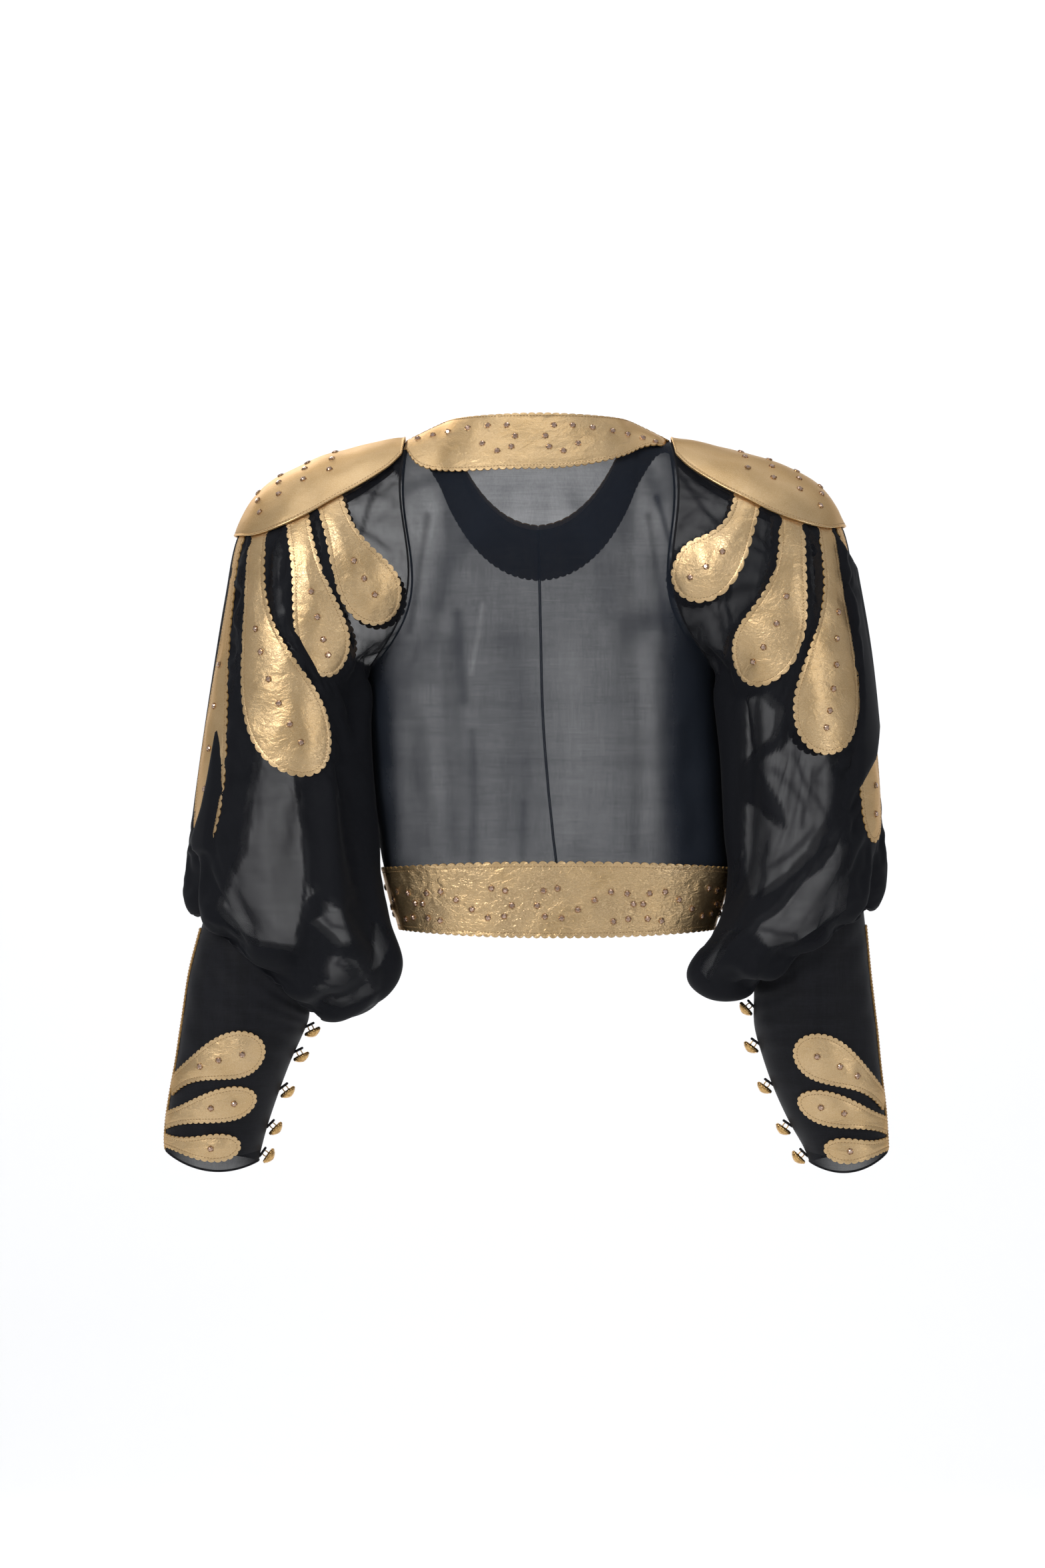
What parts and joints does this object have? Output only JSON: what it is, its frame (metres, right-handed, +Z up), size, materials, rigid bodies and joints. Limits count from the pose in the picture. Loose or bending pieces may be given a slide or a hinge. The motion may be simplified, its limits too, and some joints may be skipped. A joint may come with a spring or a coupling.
{
  "type": "cropped jacket",
  "caption": "Cropped evening jacket of sheer black cloth with full gathered sleeves, fitted lower sleeves and gold leather collar, shoulder plates, petals and belt.",
  "frame": {"origin": "centre of the neck opening at the level of the shoulders, where the wearer's neck and shoulders hold the jacket up", "axes": "+Z up, the wearer faces -Y, +X towards the wearer's left arm"},
  "size_m": [0.6235, 0.2261, 0.6448],
  "materials": {
    "sheer_cloth": "sheer matt black chiffon",
    "gold_leather": "pale gold foiled leather, softly creased, with crystals set in it",
    "gilt_metal": "polished gilt metal with a corded rim"
  },
  "bodies": {
    "root": {"back_panel": "sheer_cloth", "front_left": "sheer_cloth", "front_right": "sheer_cloth", "sleeve_left": "sheer_cloth", "sleeve_right": "sheer_cloth", "forearm_left": "sheer_cloth", "forearm_right": "sheer_cloth", "collar": "gold_leather", "belt": "gold_leather", "shoulder_plate_left": "gold_leather", "shoulder_plate_right": "gold_leather", "sleeve_petal_left_back_1": "gold_leather", "sleeve_petal_left_back_2": "gold_leather", "sleeve_petal_left_back_3": "gold_leather", "sleeve_petal_left_back_4": "gold_leather", "sleeve_petal_left_front_1": "gold_leather", "sleeve_petal_left_front_2": "gold_leather", "sleeve_petal_left_front_3": "gold_leather", "sleeve_petal_left_front_4": "gold_leather", "sleeve_petal_right_back_1": "gold_leather", "sleeve_petal_right_back_2": "gold_leather", "sleeve_petal_right_back_3": "gold_leather", "sleeve_petal_right_back_4": "gold_leather", "sleeve_petal_right_front_1": "gold_leather", "sleeve_petal_right_front_2": "gold_leather", "sleeve_petal_right_front_3": "gold_leather", "sleeve_petal_right_front_4": "gold_leather", "forearm_petal_left_back_1": "gold_leather", "forearm_petal_left_back_2": "gold_leather", "forearm_petal_left_back_3": "gold_leather", "forearm_petal_left_front_1": "gold_leather", "forearm_petal_left_front_2": "gold_leather", "forearm_petal_left_front_3": "gold_leather", "forearm_petal_right_back_1": "gold_leather", "forearm_petal_right_back_2": "gold_leather", "forearm_petal_right_back_3": "gold_leather", "forearm_petal_right_front_1": "gold_leather", "forearm_petal_right_front_2": "gold_leather", "forearm_petal_right_front_3": "gold_leather", "forearm_strip_left": "gold_leather", "forearm_strip_right": "gold_leather", "button_left_1": "gilt_metal", "button_left_2": "gilt_metal", "button_left_3": "gilt_metal", "button_left_4": "gilt_metal", "button_left_5": "gilt_metal", "button_right_1": "gilt_metal", "button_right_2": "gilt_metal", "button_right_3": "gilt_metal", "button_right_4": "gilt_metal", "button_right_5": "gilt_metal"}
  },
  "joints": []
}
